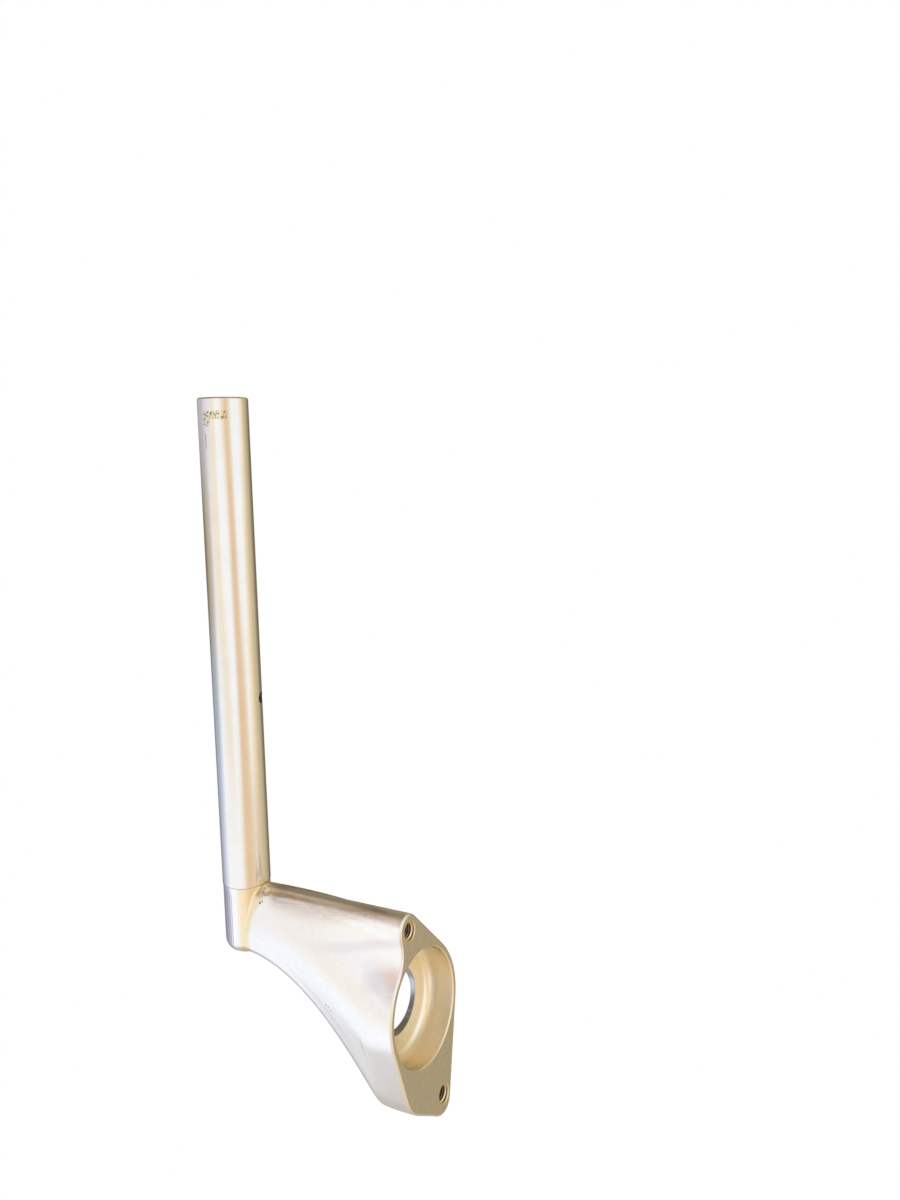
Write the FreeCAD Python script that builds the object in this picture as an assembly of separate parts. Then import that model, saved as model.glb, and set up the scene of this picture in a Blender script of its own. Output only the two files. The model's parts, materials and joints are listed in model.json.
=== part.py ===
import FreeCAD, Part
import math
import os

# Clip-on handlebar half: a cast riser arm that bolts over a fork leg,
# and the straight bar tube pressed and bonded onto its spigot.
# Millimetres and degrees. The origin is the bore centre on the mating face.
# +Z is the bore axis, away from the clamp. +X points to the near bolt hole.

# Bar tube
bar_diameter = 22.0
bar_wall = 2.5
bar_length = 223.0
bar_sweep = 7.9
bar_drop = 6.0
bar_end_chamfer = 0.6
locating_hole_diameter = 5.5
locating_hole_distance = 87.5
locating_hole_turn = 25.0

# Place of the seam between arm and tube, on the tube axis
seam_reach = 58.6
seam_offset = 7.4
seam_rise = 81.7

# Elbow boss and spigot of the arm
boss_undersize = 0.4
boss_length = 33.0
boss_end_radius = 6.0
boss_blend = 1.5
spigot_diameter = 18.0
spigot_length = 34.0
spigot_chamfer = 1.0
spigot_seat_runout = 1.0

# Fork seat in the mating face
seat_diameter = 50.0
seat_depth = 14.6
seat_blend = 5.0
stem_hole_diameter = 29.0
edge_break = 0.6
rim_land = 3.0

# Bolt holes, M8 with a countersink
bolt_near = 38.0
bolt_far = 45.8
thread_diameter = 8.0
countersink_diameter = 8.8
near_thread_depth = 20.0
far_thread_depth = 9.0
drill_point_angle = 118.0

# Flange outline
near_lobe_radius = 7.4
far_lobe_radius = 7.3
far_lobe_past = 1.1
far_lobe_aside = 1.5
heel_radius = 18.0
heel_back = 25.7
heel_side = 8.3
waist_radius = 16.0
rim_chamfer = 0.8

# Neck outline, where the arm runs into the boss
neck_width = 19.0
neck_nose_radius = 7.0
neck_nose_setback = 1.0
neck_wide_point = 21.5
neck_corner_radius = 6.0
neck_end_setback = 1.0
neck_overlap = 2.3

# Flare of the arm. Each side has a direction round the flange, a height where
# it leaves the flange wall, and a sharpness of turn on its way up to the neck
near_sharpness = 2.5
ear_first_direction = 90.0
ear_last_direction = 175.0
ear_shelf = 0.9
ear_sharpness = 12.0
heel_direction = 222.0
heel_height = 17.0
heel_overshoot = 8.0
heel_sharpness = 2.4
side_direction = 270.0
side_height = 14.0
side_sharpness = 1.55
flare_easing = 2.0

# How finely the arm's surface is described
outline_points = 48
section_count = 20
section_bias = 1.5

neck_top = seam_rise + neck_overlap
ear_height = seat_depth + ear_shelf
heel_top = neck_top + heel_overshoot
seat_radius = seat_diameter / 2
stem_hole_radius = stem_hole_diameter / 2
bar_radius = bar_diameter / 2
boss_radius = bar_radius - boss_undersize / 2
bar_bore_radius = bar_radius - bar_wall
spigot_radius = spigot_diameter / 2


def bar_direction():
    sweep = math.radians(bar_sweep)
    drop = math.radians(bar_drop)
    level = math.cos(drop)
    return FreeCAD.Vector(level * math.cos(sweep), level * math.sin(sweep), -math.sin(drop))


bar_axis = bar_direction()
seam = FreeCAD.Vector(seam_reach, -seam_offset, seam_rise)


def along_bar(distance):
    return seam + bar_axis * distance


def tangent_outline(circles):
    """Closed wire that runs round circles in turn, joined by tangent lines.

    A negative radius is a hollow arc. Circles that touch get no line between.
    """
    normals = []
    for index, (centre, radius) in enumerate(circles):
        next_centre, next_radius = circles[(index + 1) % len(circles)]
        step = next_centre - centre
        share = (radius - next_radius) / step.Length
        turn = math.acos(max(-1.0, min(1.0, share)))
        normals.append(math.atan2(step.y, step.x) - turn)
    edges = []
    for index, (centre, radius) in enumerate(circles):
        first = normals[index - 1]
        last = normals[index]
        turn = (last - first) % (2 * math.pi)
        if radius < 0:
            turn = turn - 2 * math.pi
        arc_points = [point_at(centre, radius, first + turn * share) for share in (0.0, 0.5, 1.0)]
        edges.append(Part.Arc(*arc_points).toShape())
        next_centre, next_radius = circles[(index + 1) % len(circles)]
        line_end = point_at(next_centre, next_radius, last)
        if not line_end.isEqual(arc_points[2], FreeCAD.Base.Precision.confusion()):
            edges.append(Part.LineSegment(arc_points[2], line_end).toShape())
    return Part.Wire(edges)


def point_at(centre, radius, angle):
    return centre + FreeCAD.Vector(math.cos(angle), math.sin(angle), 0) * radius


def touching_centre(first, first_radius, second, second_radius, radius):
    """Centre of a circle that touches two others from outside, on the -Y side."""
    reach_first = first_radius + radius
    reach_second = second_radius + radius
    gap = second.x - first.x
    across = (reach_first**2 - reach_second**2 + gap**2) / (2 * gap)
    down = math.sqrt(reach_first**2 - across**2)
    return FreeCAD.Vector(first.x + across, first.y - down, 0)


def flange_outline():
    rim = FreeCAD.Vector(0, 0, 0)
    near_lobe = FreeCAD.Vector(bolt_near, 0, 0)
    far_lobe = FreeCAD.Vector(-bolt_far - far_lobe_past, -far_lobe_aside, 0)
    heel = FreeCAD.Vector(-heel_back, -heel_side, 0)
    rim_radius = seat_radius + rim_land
    waist = touching_centre(rim, rim_radius, near_lobe, near_lobe_radius, waist_radius)
    circles = [
        (near_lobe, near_lobe_radius),
        (rim, rim_radius),
        (far_lobe, far_lobe_radius),
        (heel, heel_radius),
        (rim, rim_radius),
        (waist, -waist_radius),
    ]
    return tangent_outline(circles)


def neck_outline():
    forward = FreeCAD.Vector(bar_axis.x, bar_axis.y, 0).normalize()
    aside = FreeCAD.Vector(-forward.y, forward.x, 0)
    start = FreeCAD.Vector(seam.x, seam.y, 0)
    corner_in = neck_width / 2 - neck_corner_radius
    nose = start - forward * (neck_nose_setback + neck_nose_radius)
    middle = start - forward * neck_wide_point
    corner = start - forward * (boss_length - neck_end_setback - neck_corner_radius)
    circles = [
        (nose, neck_nose_radius),
        (middle, neck_width / 2),
        (corner + aside * corner_in, neck_corner_radius),
        (corner - aside * corner_in, neck_corner_radius),
        (middle, neck_width / 2),
    ]
    return tangent_outline(circles)


def side_share(side, height):
    """How far one side has moved from the flange outline to the neck outline."""
    direction, start, top, sharpness = side
    eased = ease(height - start) - ease(-start)
    share = min(1.0, eased / (top - start))
    return 1.0 - (1.0 - share) ** sharpness


def ease(height):
    return (height + math.hypot(height, flare_easing)) / 2


def flare_share(direction, height):
    """The same for any direction, blended between the two sides it lies between."""
    full_turn = 360.0
    near = (0.0, 0.0, neck_top, near_sharpness)
    sides = [
        near,
        (ear_first_direction, ear_height, neck_top, ear_sharpness),
        (ear_last_direction, ear_height, neck_top, ear_sharpness),
        (heel_direction, heel_height, heel_top, heel_sharpness),
        (side_direction, side_height, neck_top, side_sharpness),
        near,
    ]
    degrees = math.degrees(direction) % full_turn
    for side, following in zip(sides, sides[1:]):
        span = (following[0] - side[0]) % full_turn
        past = degrees - side[0]
        if past <= span:
            blend = math.sin(math.pi / 2 * past / span) ** 2
            return side_share(side, height) * (1.0 - blend) + side_share(following, height) * blend


def arm_flare():
    """Trumpet-shaped skin of the arm, from the mating face up into the boss."""
    flange = flange_outline()
    neck = neck_outline()
    flange_centre = flange.BoundBox.Center
    neck_centre = neck.BoundBox.Center
    foot = flange.discretize(Number=outline_points + 1)[:outline_points]
    quarter = outline_points // 4
    foot = foot[quarter:] + foot[:quarter]
    pairs = []
    for point in foot:
        outward = (point - flange_centre).normalize()
        ray = Part.makeLine(neck_centre, neck_centre + outward * (2 * boss_length))
        hit = ray.distToShape(neck)[1][0][0]
        pairs.append((point, hit, math.atan2(outward.y, outward.x)))
    sections = []
    steps = [step / outline_points for step in range(outline_points + 1)]
    for index in range(section_count + 1):
        height = neck_top * (index / section_count) ** section_bias
        ring = []
        for point, hit, direction in pairs:
            share = flare_share(direction, height)
            place = point * (1.0 - share) + hit * share
            ring.append(FreeCAD.Vector(place.x, place.y, height))
        curve = Part.BSplineCurve()
        curve.interpolate(ring, PeriodicFlag=True, Parameters=steps)
        sections.append(Part.Wire(curve.toShape()))
    return Part.makeLoft(sections, True, False)


def elbow_boss():
    base = along_bar(-boss_length)
    boss = Part.makeCylinder(boss_radius, boss_length, base, bar_axis)
    end_edge = min(boss.Edges, key=lambda edge: (edge.CenterOfMass - base).Length)
    return boss.makeFillet(boss_end_radius, [end_edge])


def spigot():
    shaft = Part.makeCylinder(spigot_radius, spigot_length, seam, bar_axis)
    tip = along_bar(spigot_length)
    tip_edge = min(shaft.Edges, key=lambda edge: (edge.CenterOfMass - tip).Length)
    return shaft.makeChamfer(spigot_chamfer, [tip_edge])


def revolved(profile):
    """Solid of revolution about Z from a closed profile of (radius, height) points."""
    points = [FreeCAD.Vector(radius, 0, height) for radius, height in profile]
    face = Part.Face(Part.makePolygon(points + points[:1]))
    return face.revolve(FreeCAD.Vector(0, 0, 0), FreeCAD.Vector(0, 0, 1), 360)


def fork_seat_cut():
    """Counterbore with a large blend at its shelf, and the hole for the fork cap."""
    below = FreeCAD.Vector(0, 0, -edge_break)
    seat = Part.makeCylinder(seat_radius, seat_depth + edge_break, below)
    shelf_edge = max(seat.Edges, key=lambda edge: edge.CenterOfMass.z)
    seat = seat.makeFillet(seat_blend, [shelf_edge])
    through = Part.makeCylinder(stem_hole_radius, neck_top + bar_diameter)
    mouth = Part.makeCone(seat_radius + 2 * edge_break, seat_radius, 2 * edge_break, below)
    return seat.fuse([through, mouth])


def bolt_hole_cut(distance, depth):
    radius = thread_diameter / 2
    sink = countersink_diameter / 2
    point = radius / math.tan(math.radians(drill_point_angle / 2))
    profile = [
        (0, -edge_break),
        (sink + edge_break, -edge_break),
        (radius, sink - radius),
        (radius, depth),
        (0, depth + point),
    ]
    return revolved(profile).translated(FreeCAD.Vector(distance, 0, 0))


def broken_rim(body):
    """Arm with a small chamfer round the outside of its mating face."""
    face_edges = [edge for edge in body.Edges if abs(edge.CenterOfMass.z) < rim_chamfer]
    outside = max(face_edges, key=lambda edge: edge.Length)
    return body.makeChamfer(rim_chamfer, [outside])


def blended_boss(body):
    """Arm with a hollow blend along the creases where the flare meets the boss."""
    above = [edge for edge in body.Edges if edge.CenterOfMass.z > neck_top / 2]
    creases = [edge for edge in above if "BSpline" in edge.Curve.TypeId]
    return body.makeFillet(boss_blend, creases)


def riser_arm():
    body = blended_boss(broken_rim(arm_flare().fuse(elbow_boss())))
    cuts = [
        fork_seat_cut(),
        bolt_hole_cut(bolt_near, near_thread_depth),
        bolt_hole_cut(-bolt_far, far_thread_depth),
    ]
    body = body.cut(cuts)
    return body.fuse(spigot())


def bar_tube():
    outer = Part.makeCylinder(bar_radius, bar_length, seam, bar_axis)
    end = along_bar(bar_length)
    end_edge = min(outer.Edges, key=lambda edge: (edge.CenterOfMass - end).Length)
    outer = outer.makeChamfer(bar_end_chamfer, [end_edge])
    bore = Part.makeCylinder(bar_bore_radius, bar_length, seam, bar_axis)
    spigot_seat = Part.makeCylinder(spigot_radius, spigot_length + spigot_seat_runout, seam, bar_axis)
    down = FreeCAD.Vector(0, 0, -1)
    down = (down - bar_axis * down.dot(bar_axis)).normalize()
    outward = FreeCAD.Rotation(bar_axis, locating_hole_turn).multVec(down)
    hole = Part.makeCylinder(locating_hole_diameter / 2, bar_diameter,
                             along_bar(locating_hole_distance), outward)
    return outer.cut([bore, spigot_seat, hole])


os.makedirs("parts", exist_ok=True)
riser_arm().exportStep("parts/riser_arm.step")
bar_tube().exportStep("parts/bar_tube.step")
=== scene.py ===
import json
import math

import bmesh
import bpy
from mathutils import Matrix, Vector


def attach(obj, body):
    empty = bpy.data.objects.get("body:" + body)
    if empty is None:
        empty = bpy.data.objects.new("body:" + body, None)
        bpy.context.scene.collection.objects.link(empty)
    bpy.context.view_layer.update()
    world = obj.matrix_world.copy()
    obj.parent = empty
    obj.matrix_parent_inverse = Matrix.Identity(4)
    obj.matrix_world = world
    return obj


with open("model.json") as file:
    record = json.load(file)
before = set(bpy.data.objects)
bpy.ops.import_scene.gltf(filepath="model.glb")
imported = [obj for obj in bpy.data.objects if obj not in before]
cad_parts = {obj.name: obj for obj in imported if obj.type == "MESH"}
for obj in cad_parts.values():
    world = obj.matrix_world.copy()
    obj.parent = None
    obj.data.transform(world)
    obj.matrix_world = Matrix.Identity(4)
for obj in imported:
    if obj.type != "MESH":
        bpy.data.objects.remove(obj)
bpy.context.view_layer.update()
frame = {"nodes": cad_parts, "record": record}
mounts = {mount["name"]: mount for mount in frame["record"]["mounts"]}


class Signal:
    """One output socket. An operator between two of them adds a Math node."""

    def __init__(self, shader, socket):
        self.shader = shader
        self.socket = socket

    def maths(self, operation, first, second):
        return self.shader.node("ShaderNodeMath", {"operation": operation}, {0: first, 1: second})

    def __add__(self, other):
        return self.maths("ADD", self, other)

    def __radd__(self, other):
        return self.maths("ADD", other, self)

    def __sub__(self, other):
        return self.maths("SUBTRACT", self, other)

    def __rsub__(self, other):
        return self.maths("SUBTRACT", other, self)

    def __mul__(self, other):
        return self.maths("MULTIPLY", self, other)

    def __rmul__(self, other):
        return self.maths("MULTIPLY", other, self)

    def __truediv__(self, other):
        return self.maths("DIVIDE", self, other)

    def __pow__(self, other):
        return self.maths("POWER", self, other)


class Shader:
    """Nodes of one material or of the world."""

    def __init__(self, owner):
        owner.use_nodes = True
        self.tree = owner.node_tree
        self.tree.nodes.clear()

    def node(self, kind, settings, sockets, output=0):
        """Adds one node. The setting "stops" is a colour ramp's positions and colours."""
        made = self.tree.nodes.new(kind)
        for name, value in settings.items():
            if name == "stops":
                ramp = made.color_ramp.elements
                while len(ramp) < len(value):
                    ramp.new(1.0)
                for element, (position, colour) in zip(ramp, value):
                    element.position = position
                    element.color = (*colour, 1.0)
            else:
                setattr(made, name, value)
        for name, value in sockets.items():
            if isinstance(value, Signal):
                self.tree.links.new(value.socket, made.inputs[name])
            else:
                made.inputs[name].default_value = value
        return Signal(self, made.outputs[output]) if made.outputs else None

    def coordinate(self, kind):
        return self.node("ShaderNodeTexCoord", {}, {}, kind)

    def parts(self, vector):
        return [self.node("ShaderNodeSeparateXYZ", {}, {"Vector": vector}, axis)
                for axis in ("X", "Y", "Z")]

    def dot(self, vector, direction):
        return self.node("ShaderNodeVectorMath", {"operation": "DOT_PRODUCT"},
                         {0: vector, 1: direction}, "Value")

    def distance(self, place, centre):
        return self.node("ShaderNodeVectorMath", {"operation": "DISTANCE"},
                         {0: place, 1: centre}, "Value")

    def millimetres(self, metres):
        return self.node("ShaderNodeVectorMath", {"operation": "SCALE"},
                         {0: metres, "Scale": 1000.0})

    def seen_from(self, origin, axes, metres):
        """The place in metres, told in the turned axes of another origin."""
        return self.node("ShaderNodeMapping", {"vector_type": "TEXTURE"},
                         {"Vector": metres, "Location": origin, "Rotation": axes})

    def scaled(self, vector, scale):
        return self.node("ShaderNodeMapping", {"vector_type": "POINT"},
                         {"Vector": vector, "Scale": scale})

    def rise(self, value, low, high):
        """0 below low, 1 above high and smooth between. With low above high it falls instead."""
        return self.node("ShaderNodeMapRange", {"interpolation_type": "SMOOTHSTEP"},
                         {"Value": value, "From Min": low, "From Max": high})

    def between(self, value, low, high, soft):
        """1 from low to high, with a smooth edge as wide as soft on each side."""
        return self.rise(value, low - soft, low) * self.rise(value, high + soft, high)

    def turned_degrees(self, across, forward):
        angle = self.node("ShaderNodeMath", {"operation": "ARCTAN2"}, {0: across, 1: forward})
        return angle * (180 / math.pi)

    def noise(self, vector, scale, detail=2.0):
        return self.node("ShaderNodeTexNoise", {},
                         {"Vector": vector, "Scale": scale, "Detail": detail})

    def blend(self, share, first, second):
        """Mixes two colours. The Mix node's colours are its inputs 6 and 7 and output 2."""
        first, second = (colour if isinstance(colour, Signal) else (*colour, 1.0)
                         for colour in (first, second))
        return self.node("ShaderNodeMix", {"data_type": "RGBA"},
                         {"Factor": share, 6: first, 7: second}, 2)

    def rounded(self, radius):
        return self.node("ShaderNodeBevel", {"samples": 6}, {"Radius": radius})

    def bump(self, height, distance, strength, normal):
        return self.node("ShaderNodeBump", {}, {
            "Height": height, "Distance": distance, "Strength": strength, "Normal": normal})

    def metal(self, sockets):
        surface = self.node("ShaderNodeBsdfPrincipled", {}, {"Metallic": 1.0, **sockets})
        self.node("ShaderNodeOutputMaterial", {}, {"Surface": surface})


# The light. The photo was taken in a white tent with tan, olive and blue-grey gaps,
# which show as stripes along the tube. They turn round the bar's axis, so the world is
# rings of colour round it, in order from behind the seam end to beyond the tube's end.
bar_axis = Vector(mounts["bar_outside"]["axis"])
towards_camera = Vector((0.0303, -0.7358, -0.6765))
towards_camera = (towards_camera - bar_axis * towards_camera.dot(bar_axis)).normalized()
round_bar = bar_axis.cross(towards_camera)

white = (1.05, 1.10, 1.20)
warm_white = (0.98, 0.94, 0.92)
pale_blue = (0.74, 0.82, 1.04)
blue_grey = (0.46, 0.52, 0.66)
slate = (0.27, 0.30, 0.35)
grey = (0.62, 0.58, 0.57)
ash = (0.55, 0.52, 0.50)
lavender = (0.84, 0.76, 0.84)
cream = (1.03, 0.92, 0.74)
gold = (0.93, 0.78, 0.55)
tan = (0.88, 0.67, 0.48)
sand = (0.70, 0.59, 0.42)
olive = (0.54, 0.47, 0.32)
brown = (0.45, 0.35, 0.23)
dark = (0.22, 0.18, 0.12)

# A ring's key is how far its rays lean along the bar's axis, from -1 to 1. Its stops are
# at degrees round the bar, counted from the camera's side. A ramp holds no colour above
# 1, so each is a share of the brightest, which is the light's strength.
rings = {
    -0.82: ((-180, ash), (-60, ash), (0, sand), (97, olive), (180, ash)),
    -0.72: ((-180, slate), (-140, slate), (-128, grey), (-116, white), (-40, white), (0, tan),
            (60, sand), (97, olive), (142, olive), (180, slate)),
    -0.42: ((-180, dark), (-154, slate), (-130, blue_grey), (-106, pale_blue), (-86, white),
            (-20, white), (-8, cream), (7, tan), (22, tan), (52, gold), (70, tan), (92, sand),
            (116, olive), (142, dark), (180, dark)),
    -0.28: ((-180, dark), (-152, slate), (-132, blue_grey), (-113, blue_grey),
            (-98, pale_blue), (-83, white), (-53, warm_white), (-38, cream), (-23, white),
            (-6, white), (8, tan), (24, tan), (37, gold), (52, white), (68, cream), (80, gold),
            (94, sand), (114, olive), (136, dark), (180, dark)),
    -0.12: ((-180, dark), (-146, dark), (-118, olive), (-98, grey), (-83, warm_white),
            (-53, cream), (-38, white), (-8, white), (8, tan), (22, tan), (36, white),
            (62, white), (80, gold), (98, sand), (114, olive), (136, dark), (180, dark)),
    0.05: ((-180, dark), (-150, blue_grey), (-113, grey), (-96, pale_blue), (-60, warm_white),
           (-48, cream), (-38, white), (-20, white), (-8, cream), (8, tan), (20, gold),
           (34, white), (66, white), (86, cream), (100, sand), (118, olive), (142, dark),
           (180, dark)),
    0.22: ((-180, dark), (-125, brown), (-88, olive), (-76, white), (-40, white), (-14, cream),
           (8, tan), (22, cream), (50, white), (64, white), (82, gold), (98, sand),
           (116, olive), (150, brown), (180, dark)),
    0.42: ((-180, dark), (-120, brown), (-82, brown), (-64, olive), (-55, lavender),
           (-46, white), (-28, white), (-12, cream), (8, tan), (22, cream), (52, white),
           (66, white), (84, gold), (100, sand), (118, olive), (150, brown), (180, dark)),
    0.85: ((-180, dark), (-135, dark), (-112, brown), (-70, brown), (-50, grey),
           (-36, lavender), (-22, tan), (0, gold), (40, sand), (100, olive), (140, dark),
           (180, dark)),
}

world = bpy.data.worlds.new("white_tent")
bpy.context.scene.world = world
light = Shader(world)
ray = light.coordinate("Generated")
turn = light.turned_degrees(light.dot(ray, round_bar), light.dot(ray, towards_camera)) / 360 + 0.5
lean = light.dot(ray, bar_axis)
brightest = max(white)
colours_round = []
for stops in rings.values():
    shares = [(degrees / 360 + 0.5, tuple(part / brightest for part in colour))
              for degrees, colour in stops]
    colours_round.append(light.node("ShaderNodeValToRGB", {"stops": shares}, {"Fac": turn}))
leans = list(rings)
tent_colour = colours_round[0]
for low, high, ring in zip(leans, leans[1:], colours_round[1:]):
    tent_colour = light.blend(light.rise(lean, low, high), tent_colour, ring)
tent = light.node("ShaderNodeBackground", {}, {"Color": tent_colour, "Strength": brightest})
backdrop = light.node("ShaderNodeBackground", {}, {"Color": (1.0, 1.0, 1.0, 1.0)})
seen = light.node("ShaderNodeLightPath", {}, {}, "Is Camera Ray")
sky = light.node("ShaderNodeMixShader", {}, {0: seen, 1: tent, 2: backdrop})
light.node("ShaderNodeOutputWorld", {}, {"Surface": sky})


# Riser arm. One aluminium casting, blasted to a fine grain and clear coated. Its bolt
# face, fork seat, cap hole and bolt holes are machined after casting. It bolts to the
# fork clamp by that face, and its elbow boss holds the tube.
arm = frame["nodes"]["riser_arm"]
seat_radius = mounts["fork_seat"]["dims"]["r_mm"]
seat_floor = 14.6
cap_radius = 14.5
countersink_radius = 4.4
drill_tip = 3.5
skin_roughness = 0.32
machined_roughness = 0.24
tube_length = mounts["bar_outside"]["dims"]["length_mm"] / 1000
seam = Vector(mounts["bar_outside"]["pos_m"]) - bar_axis * (tube_length / 2)
bar_turn = Matrix((bar_axis, towards_camera, round_bar)).transposed().to_euler()

cast = bpy.data.materials.new("cast_arm_finish")
s = Shader(cast)
metres = s.coordinate("Object")
place = s.millimetres(metres)
x, y, z = s.parts(place)
facing_up = s.parts(s.coordinate("Normal"))[2]
out = (x * x + y * y) ** 0.5
face = s.rise(facing_up, -0.90, -0.98) * s.rise(z, 0.6, 0.4)
seat = (s.rise(out, seat_radius + 0.9, seat_radius + 0.6)
        * s.rise(z, seat_floor + 0.3, seat_floor + 0.1) * s.rise(face, 0.6, 0.4))
cap = s.rise(out, cap_radius + 0.3, cap_radius + 0.1) * s.rise(z, seat_floor - 0.1, seat_floor)
holes = 0.0
for name in ("near_bolt_hole", "far_bolt_hole"):
    centre = mounts[name]["pos_m"][0] * 1000
    bottom = mounts[name]["dims"]["length_mm"] + drill_tip
    away = ((x - centre) * (x - centre) + y * y) ** 0.5
    holes = (s.rise(away, countersink_radius + 0.3, countersink_radius + 0.1)
             * s.rise(z, bottom, bottom - 0.4) + holes)
machined = s.node("ShaderNodeClamp", {}, {"Value": face + seat + cap + holes})

# The turned lines are 0.26 mm apart up the seat's wall and 0.37 mm apart on its floor.
grain = s.noise(place, 1.6, 4.0)
mottled = s.noise(place, 0.4, 4.0)
turned_lines = s.node("ShaderNodeMath", {"operation": "SINE"}, {0: (z + out * 0.7) * 24.0})

# The boss under the tube has a painted golden reflection on one side, which spreads onto the arm
# near the seam, and a strip of painted shade with thin painted dark reflection lines on the
# other. Along is in mm from the seam towards the tube's end, and bar_angle in degrees from the
# camera's side.
along, near, aside = s.parts(s.millimetres(s.seen_from(seam, bar_turn, metres)))
bar_reach = (near * near + aside * aside) ** 0.5
bar_angle = s.turned_degrees(aside, near)
boss_radius = 11.6
soft_edge = 1.6
spread = 3.2 * s.rise(along, -14.0, -3.0)
boss = s.rise(bar_reach - spread, boss_radius + soft_edge, boss_radius) * s.rise(z, 60.0, 64.0)
# The golden side towards the camera is a painted reflection. The grey strip on the other side is
# painted shade, and its thin dark lines are painted reflections.
painted_gold_reflection = boss * s.between(bar_angle, -16.0, 90.0, 18.0)
painted_shade_strip = boss * s.between(bar_angle, -88.0, -54.0, 11.0)
painted_dark_lines = 0.0
for angle in (-44.0, -50.0, -58.0, -70.0):
    painted_dark_lines = s.between(bar_angle, angle - 0.6, angle + 0.6, 1.4) + painted_dark_lines
painted_dark_lines = painted_dark_lines * boss * s.rise(along, -1.0, -4.0)

# Five pits, and one round knock in the corner where the boss meets the arm. The knock's bright
# spot and the lighter ring round it are a painted highlight. The ring also carries the knock's
# bumps, and the knock's edge is darker brown in part.
pits = 0.0
for centre, radius in (((52.2, -15.0, 69.1), 0.6), ((52.9, -14.7, 67.9), 0.45),
                       ((12.5, -24.0, 35.0), 0.45), ((11.8, -24.1, 33.9), 0.35),
                       ((10.2, -24.3, 32.5), 0.4)):
    pits = s.rise(s.distance(place, centre), radius, radius * 0.5) + pits
knock_radius = 1.9
from_knock = s.distance(place, (56.6, -11.4, 66.6))
dents = s.noise(place, 0.9, 1.0)
painted_knock_highlight = s.rise(from_knock, knock_radius, 1.2)
dent_and_highlight_ring = s.rise(from_knock, 4.6, 1.8)
knock_edge = s.between(from_knock, knock_radius, 2.2, 0.6) * s.rise(dents, 0.42, 0.56)

# A band of painted shade lies under the arm's upper edge, wider towards the boss. It stands
# in for the softer shading of a rounder edge. Two faint mauve streaks run along the arm. The
# edge moves out by 0.16 mm for each mm up.
below_edge = 47.8 + 0.16 * z - x
band_width = 5.0 + 6.0 * s.rise(z, 12.0, 42.0)
this_side = s.rise(y, -1.0, -4.0)
stretched_noise = s.noise(s.scaled(place, (1.0, 1.0, 0.1)), 1.5, 4.0)
painted_shade_band = s.rise(below_edge / band_width, 1.0, 0.0) * s.rise(below_edge, -0.5, 1.0)
painted_shade_band = painted_shade_band * s.rise(z, 67.0, 60.0) * this_side
painted_shade_band = painted_shade_band * (0.75 + 0.5 * s.rise(stretched_noise, 0.35, 0.65))
upper_streak = s.between(x, 36.4, 37.4, 2.6) * s.rise(z, 52.0, 12.0) * this_side
lower_streak = s.between(x, 22.5, 26.5, 2.6) * s.between(z, -2.0, 10.0, 9.0) * this_side

# The colours of the skin, of each mark on it, of the painted shade, highlights and reflections,
# and of the machined parts.
pale_skin, grey_skin = (0.94, 0.92, 0.88), (0.92, 0.897, 0.86)
pale_face, olive_face = (0.62, 0.57, 0.47), (0.55, 0.53, 0.44)
floor_gold, wall_gold = (0.93, 0.86, 0.71), (0.93, 0.85, 0.68)
painted_shade_brown = (0.66, 0.56, 0.49)
upper_mauve = (0.78, 0.71, 0.71)
lower_mauve = (0.78, 0.68, 0.72)
reflection_gold = (0.91, 0.77, 0.53)
shade_strip_grey = (0.64, 0.60, 0.60)
dark_line_grey = (0.34, 0.32, 0.36)
highlight_gold = (0.94, 0.84, 0.64)
highlight_pale = (0.98, 0.94, 0.84)
knock_edge_brown = (0.50, 0.37, 0.22)
pit_brown = (0.14, 0.10, 0.07)
hole_gold = (0.80, 0.68, 0.49)
hole_painted_shade = (0.22, 0.18, 0.12)
cap_painted_reflection = (0.53, 0.55, 0.60)

skin_colour = s.blend(s.rise(mottled, 0.38, 0.62), pale_skin, grey_skin)
# Painted shade under the arm's upper edge.
skin_colour = s.blend(painted_shade_band, skin_colour, painted_shade_brown)
skin_colour = s.blend(upper_streak * 0.6, skin_colour, upper_mauve)
skin_colour = s.blend(lower_streak * 0.35, skin_colour, lower_mauve)
# Painted golden reflection, painted shade and painted dark reflection lines on the boss.
skin_colour = s.blend(painted_gold_reflection, skin_colour, reflection_gold)
skin_colour = s.blend(painted_shade_strip, skin_colour, shade_strip_grey)
skin_colour = s.blend(painted_dark_lines * 0.7, skin_colour, dark_line_grey)
# Painted highlight on and round the knock.
skin_colour = s.blend(dent_and_highlight_ring * 0.7, skin_colour, highlight_gold)
skin_colour = s.blend(painted_knock_highlight, skin_colour, highlight_pale)
skin_colour = s.blend(knock_edge * 0.7, skin_colour, knock_edge_brown)
skin_colour = s.blend(pits, skin_colour, pit_brown)
face_colour = s.blend(s.rise(mottled, 0.36, 0.64), pale_face, olive_face)
seat_colour = s.blend(s.rise(out, cap_radius, seat_radius), floor_gold, wall_gold)
colour = s.blend(face, skin_colour, face_colour)
colour = s.blend(holes, colour, hole_gold)
# Painted shade: the bolt holes darken deeper than 2 to 6 mm.
colour = s.blend(holes * s.rise(z, 2.0, 6.0), colour, hole_painted_shade)
colour = s.blend(seat, colour, seat_colour)
# The cap hole's wall is painted blue-grey, a painted reflection of cold light.
colour = s.blend(cap, colour, cap_painted_reflection)
roughness = skin_roughness + (machined_roughness - skin_roughness) * machined

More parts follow.
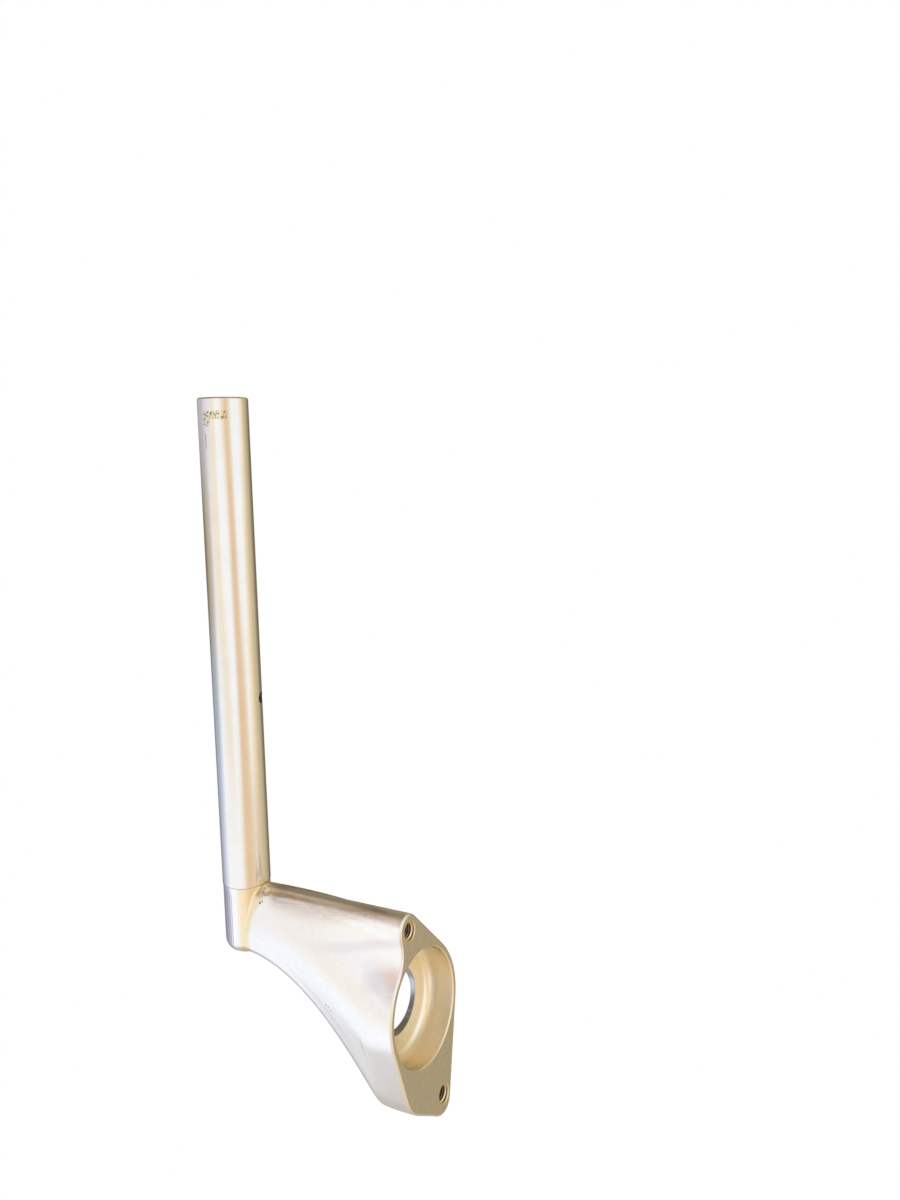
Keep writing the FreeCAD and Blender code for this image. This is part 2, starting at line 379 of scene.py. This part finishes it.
# The bumps' heights are in metres, from the grain to the turned lines.
bumps = s.bump(grain * (1.0 - machined), 0.00003, 0.35, s.rounded(0.0004))
bumps = s.bump(dents * dent_and_highlight_ring - pits, 0.0006, 0.5, bumps)
bumps = s.bump(turned_lines * seat, 0.000012, 1.0, bumps)
s.metal({"Base Color": colour, "Roughness": roughness, "Normal": bumps})
arm.data.materials.clear()
arm.data.materials.append(cast)


# Bar tube. Drawn aluminium tube, 22 mm across, with the same clear coat. It is pushed
# and bonded onto the arm's spigot, so a thin dark line runs round it at the seam.
tube = frame["nodes"]["bar_tube"]
tube_radius = mounts["bar_outside"]["dims"]["r_mm"]
pale_tube, grey_tube = (0.87, 0.83, 0.76), (0.85, 0.81, 0.74)
stain_gold = (0.86, 0.74, 0.50)
worn_gold = (0.86, 0.74, 0.46)
scuff_brown = (0.34, 0.25, 0.14)
seam_brown = (0.40, 0.35, 0.29)
bore_grey = (0.62, 0.60, 0.56)

drawn = bpy.data.materials.new("drawn_tube_finish")
s = Shader(drawn)
on_bar = s.millimetres(s.seen_from(seam, bar_turn, s.coordinate("Object")))
along, near, aside = s.parts(on_bar)
bar_reach = (near * near + aside * aside) ** 0.5
bar_angle = s.turned_degrees(aside, near)
drawn_lines = s.noise(s.scaled(on_bar, (0.03, 1.0, 1.0)), 2.6, 3.0)
fine = s.noise(on_bar, 3.0, 2.0)
broad = s.noise(on_bar, 0.08)
speckle = s.noise(on_bar, 1.3, 3.0)
seam_line = s.rise(along, 0.35, 0.10) * s.rise(bar_reach, tube_radius - 0.5, tube_radius - 0.2)
inside = s.rise(bar_reach, tube_radius - 0.6, tube_radius - 0.8)

# Near the open end the coat is worn in an arc round the tube and in a short piece beside
# it, with one scratch along the tube. A faint stain is halfway up.
worn = (s.between(along, 213.8, 216.8, 0.6) * s.between(bar_angle, -46.0, 6.0, 6.0)
        + s.between(along, 210.8, 213.6, 0.5) * s.between(bar_angle, -48.0, -36.0, 4.0))
scratch = s.between(along, 201.5, 207.0, 1.0) * s.between(bar_angle, -46.2, -44.8, 1.2)
scuffs = worn * s.rise(speckle, 0.50, 0.58) + scratch * 0.6
stain = s.between(along, 104.0, 124.0, 8.0) * s.between(bar_angle, 24.0, 34.0, 10.0)
stain = stain * s.rise(broad, 0.4, 0.6)

colour = s.blend(s.rise(broad, 0.35, 0.65), pale_tube, grey_tube)
colour = s.blend(stain * 0.5, colour, stain_gold)
colour = s.blend(worn * 0.5, colour, worn_gold)
colour = s.blend(scuffs, colour, scuff_brown)
colour = s.blend(seam_line, colour, seam_brown)
colour = s.blend(inside, colour, bore_grey)
roughness = 0.12 + 0.04 * s.rise(fine, 0.3, 0.7) + 0.2 * inside + 0.25 * scuffs
bumps = s.bump(drawn_lines, 0.00001, 0.2, s.rounded(0.0003))
bumps = s.bump(fine, 0.00001, 0.15, bumps)
bumps = s.bump(scuffs, 0.00005, 0.4, bumps)
s.metal({"Base Color": colour, "Roughness": roughness, "Normal": bumps})
tube.data.materials.clear()
tube.data.materials.append(drawn)


# Threads. Both bolt holes are tapped M8 with the coarse pitch of 1.25 mm, so a ridge
# winds up each wall. It is cut from the casting and stands out from the hole's wall.
pitch = 1.25 / 1000
crest_radius = 3.32 / 1000
crest_half = pitch / 8
root_half = 7 / 16 * pitch
start = pitch
steps_per_turn = 36
pale_gold, tan_gold = (0.74, 0.60, 0.40), (0.86, 0.72, 0.50)
thread_painted_shade = (0.20, 0.16, 0.11)

tapped = bpy.data.materials.new("tapped_thread")
s = Shader(tapped)
place = s.coordinate("Object")
depth = s.parts(place)[2]
colour = s.blend(s.rise(s.noise(place, 900.0), 0.3, 0.7), pale_gold, tan_gold)
# Painted shade: the ridge darkens from 3 to 9 mm up the hole.
colour = s.blend(s.rise(depth, 0.003, 0.009), colour, thread_painted_shade)
s.metal({"Base Color": colour, "Roughness": 0.3})

for name in ("near_bolt_hole", "far_bolt_hole"):
    centre = Vector((mounts[name]["pos_m"][0], 0, 0))
    wall_radius = mounts[name]["dims"]["r_mm"] / 1000
    quarter_turns = (mounts[name]["dims"]["length_mm"] / 1000 - start) / pitch * 4
    turns = math.floor(quarter_turns) / 4
    profile = ((wall_radius, -root_half), (crest_radius, -crest_half),
               (crest_radius, crest_half), (wall_radius, root_half))
    ridge = bmesh.new()
    corners = [ridge.verts.new(centre + Vector((reach, 0, start + height)))
               for reach, height in profile]
    edges = [ridge.edges.new(pair) for pair in zip(corners, corners[1:] + corners[:1])]
    bmesh.ops.spin(ridge, geom=corners + edges, cent=centre, axis=(0, 0, 1),
                   dvec=(0, 0, pitch / steps_per_turn), angle=math.tau * turns,
                   steps=round(turns * steps_per_turn))
    bmesh.ops.contextual_create(ridge, geom=edges)
    last = [edge for edge in ridge.edges if edge.is_boundary]
    bmesh.ops.contextual_create(ridge, geom=last)
    bmesh.ops.recalc_face_normals(ridge, faces=ridge.faces)
    mesh = bpy.data.meshes.new(name.replace("bolt_hole", "thread"))
    ridge.to_mesh(mesh)
    ridge.free()
    mesh.materials.append(tapped)
    thread = bpy.data.objects.new(mesh.name, mesh)
    bpy.context.scene.collection.objects.link(thread)
    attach(thread, "root")


# The camera. It looks from below and beside the bolt face, so that the tube rises to
# the left of the picture.
camera_data = bpy.data.cameras.new("camera")
camera_data.sensor_width = 36.0
camera_data.lens = 27.0
camera_data.shift_x = -0.0107
camera_data.shift_y = -0.0393
camera_data.clip_start = 0.01
camera = bpy.data.objects.new("camera", camera_data)
camera.location = (0.27017, -0.28533, -0.22034)
camera.rotation_euler = [math.radians(angle) for angle in (-172.594, 61.017, 111.121)]
bpy.context.scene.collection.objects.link(camera)
bpy.context.scene.camera = camera
bpy.context.scene.view_settings.view_transform = "Standard"
